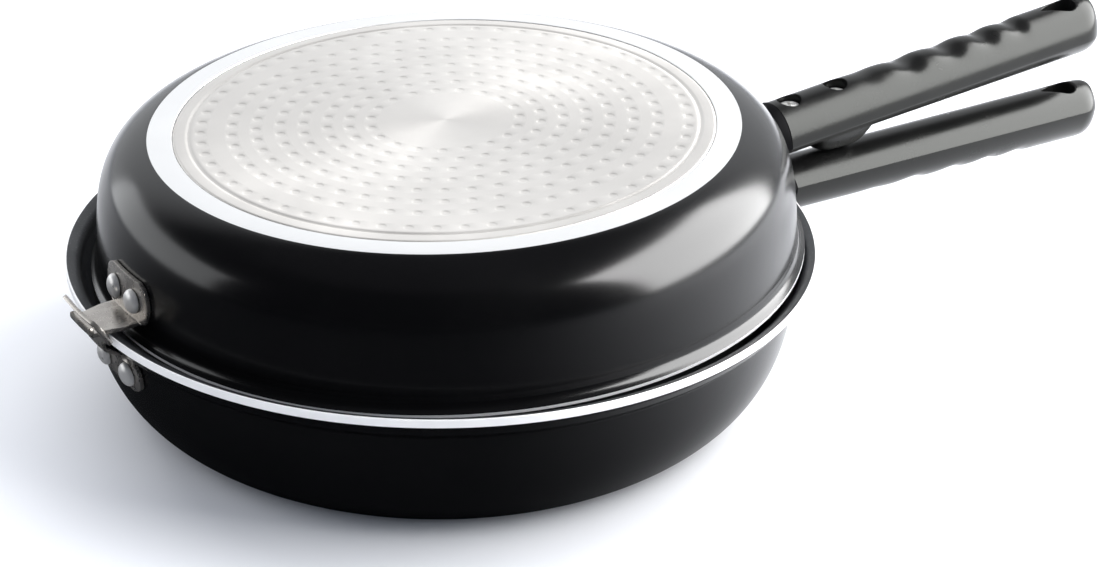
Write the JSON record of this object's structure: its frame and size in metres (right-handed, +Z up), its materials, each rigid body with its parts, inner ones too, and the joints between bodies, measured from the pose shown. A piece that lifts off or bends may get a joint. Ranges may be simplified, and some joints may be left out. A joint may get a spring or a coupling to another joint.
{
  "type": "double sided flip pan",
  "caption": "Round frying pan with another inverted over it, hinged at the lip by a hooked tongue in a slotted ear, with a finger-grooved handle on each half",
  "frame": {"origin": "on the surface the pan stands on, on the axis of the lower pan, in the middle of its base", "axes": "+X from the pan's axis along both handles, +Z up through the inverted upper pan, +Y across; the hinge is at -X"},
  "size_m": [0.4857, 0.28, 0.1073],
  "materials": {
    "pan_coating": "pressed aluminium with a black satin coating inside and out, bare and bright on the base ring and the cut edge of the lip",
    "disc_steel": "circular brushed, dimpled all over",
    "hinge_steel": "satin stainless sheet and rivets",
    "bracket_alloy": "as cast",
    "guard_lacquer": "black satin lacquer",
    "handle_bakelite": "black moulded phenolic, satin",
    "screw_steel": "bright plated screw"
  },
  "bodies": {
    "lower_pan": {"lower_pan_body": "pan_coating", "lower_induction_disc": "disc_steel", "lower_hinge_bracket": "hinge_steel", "lower_hinge_rivet_left": "hinge_steel", "lower_hinge_rivet_right": "hinge_steel", "lower_handle_bracket": "bracket_alloy", "lower_flame_guard": "guard_lacquer", "lower_handle": "handle_bakelite", "lower_handle_screw_front": "screw_steel", "lower_handle_screw_rear": "screw_steel"},
    "upper_pan": {"upper_pan_body": "pan_coating", "upper_induction_disc": "disc_steel", "upper_hinge_bracket": "hinge_steel", "upper_hinge_rivet_left": "hinge_steel", "upper_hinge_rivet_right": "hinge_steel", "upper_handle_bracket": "bracket_alloy", "upper_flame_guard": "guard_lacquer", "upper_handle": "handle_bakelite", "upper_handle_screw_front": "screw_steel", "upper_handle_screw_rear": "screw_steel"}
  },
  "joints": [
    {"name": "hinge_swing", "type": "hinge", "parent": "lower_pan", "child": "upper_pan", "pos_m": [-0.14378, 0, 0.05899], "axis": [0, -1, 0], "range_deg": [0, 92]}
  ]
}
